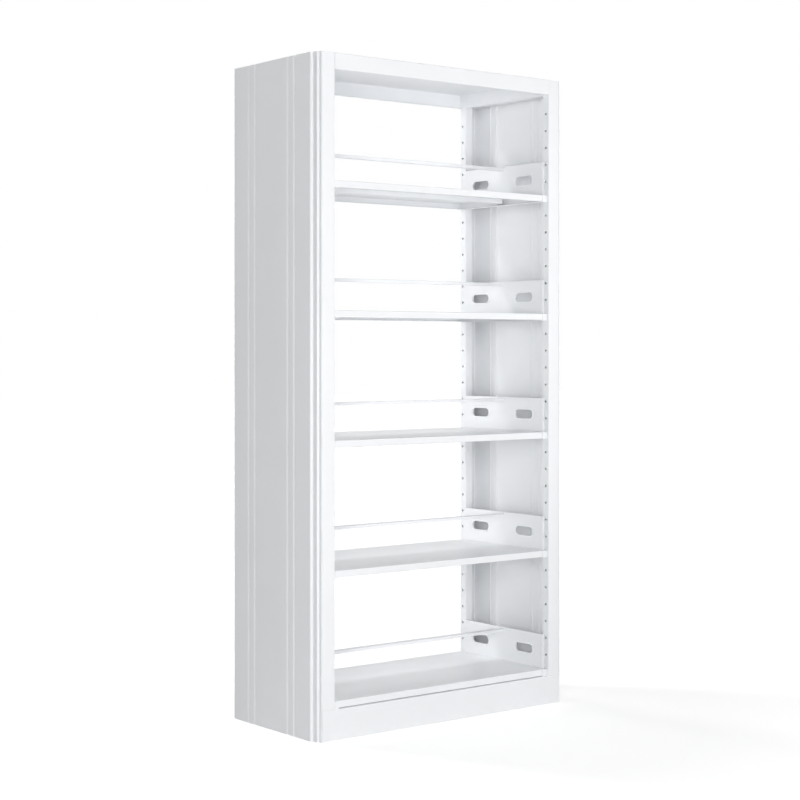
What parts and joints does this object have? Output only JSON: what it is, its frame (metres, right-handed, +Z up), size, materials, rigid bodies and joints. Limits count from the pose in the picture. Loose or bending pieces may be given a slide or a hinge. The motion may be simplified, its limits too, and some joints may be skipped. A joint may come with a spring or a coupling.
{
  "type": "double sided library shelving bay",
  "caption": "Free-standing double sided library shelving bay in white folded steel: grooved side covers, end brackets, open shelves with a central book stop, kick plates and hollow top.",
  "frame": {"origin": "on the floor, midway across the width and the depth", "axes": "+Z up, -Y out of the front face and +Y out of the rear face, +X to the right seen from the front"},
  "size_m": [1, 0.45, 2.05],
  "materials": {
    "white_frame": "white semi-gloss powder coat",
    "white_cover": "white semi-gloss powder coat",
    "white_shelf": "white semi-gloss powder coat",
    "zinc_steel": "bright zinc plate"
  },
  "bodies": {
    "frame": {"column_front_left": "white_frame", "column_front_right": "white_frame", "column_rear_left": "white_frame", "column_rear_right": "white_frame", "column_end_plates": "white_frame", "side_cover_left": "white_cover", "side_cover_right": "white_cover", "top_panel": "white_frame", "kick_plate_front": "white_frame", "kick_plate_rear": "white_frame", "base_beam_left": "white_frame", "base_beam_right": "white_frame", "end_rail_left_bottom": "white_frame", "end_rail_right_bottom": "white_frame", "end_rail_left_middle": "white_frame", "end_rail_right_middle": "white_frame", "end_rail_left_top": "white_frame", "end_rail_right_top": "white_frame", "end_bracket_left_1": "white_shelf", "end_bracket_right_1": "white_shelf", "book_stop_1": "white_shelf", "end_bracket_left_2": "white_shelf", "end_bracket_right_2": "white_shelf", "book_stop_2": "white_shelf", "end_bracket_left_3": "white_shelf", "end_bracket_right_3": "white_shelf", "book_stop_3": "white_shelf", "end_bracket_left_4": "white_shelf", "end_bracket_right_4": "white_shelf", "book_stop_4": "white_shelf", "end_bracket_left_5": "white_shelf", "end_bracket_right_5": "white_shelf", "book_stop_5": "white_shelf", "bracket_pegs": "zinc_steel", "book_stop_screws": "zinc_steel", "top_screws": "zinc_steel", "foot_bolts": "zinc_steel", "foot_nuts": "zinc_steel", "frame_bolts": "zinc_steel", "frame_nuts": "zinc_steel", "cover_studs": "zinc_steel", "cover_nuts": "zinc_steel"},
    "shelf_unit_1": {"shelf_1": "white_shelf", "shelf_rib_1": "white_shelf"},
    "shelf_unit_2": {"shelf_2": "white_shelf", "shelf_rib_2": "white_shelf"},
    "shelf_unit_3": {"shelf_3": "white_shelf", "shelf_rib_3": "white_shelf"},
    "shelf_unit_4": {"shelf_4": "white_shelf", "shelf_rib_4": "white_shelf"},
    "shelf_unit_5": {"shelf_5": "white_shelf", "shelf_rib_5": "white_shelf"}
  },
  "joints": [
    {"name": "shelf_1_lift", "type": "slide", "parent": "frame", "child": "shelf_unit_1", "axis": [0, 0, 1], "range_m": [0, 0.06]},
    {"name": "shelf_2_lift", "type": "slide", "parent": "frame", "child": "shelf_unit_2", "axis": [0, 0, 1], "range_m": [0, 0.06]},
    {"name": "shelf_3_lift", "type": "slide", "parent": "frame", "child": "shelf_unit_3", "axis": [0, 0, 1], "range_m": [0, 0.06]},
    {"name": "shelf_4_lift", "type": "slide", "parent": "frame", "child": "shelf_unit_4", "axis": [0, 0, 1], "range_m": [0, 0.06]},
    {"name": "shelf_5_lift", "type": "slide", "parent": "frame", "child": "shelf_unit_5", "axis": [0, 0, 1], "range_m": [0, 0.06]}
  ]
}
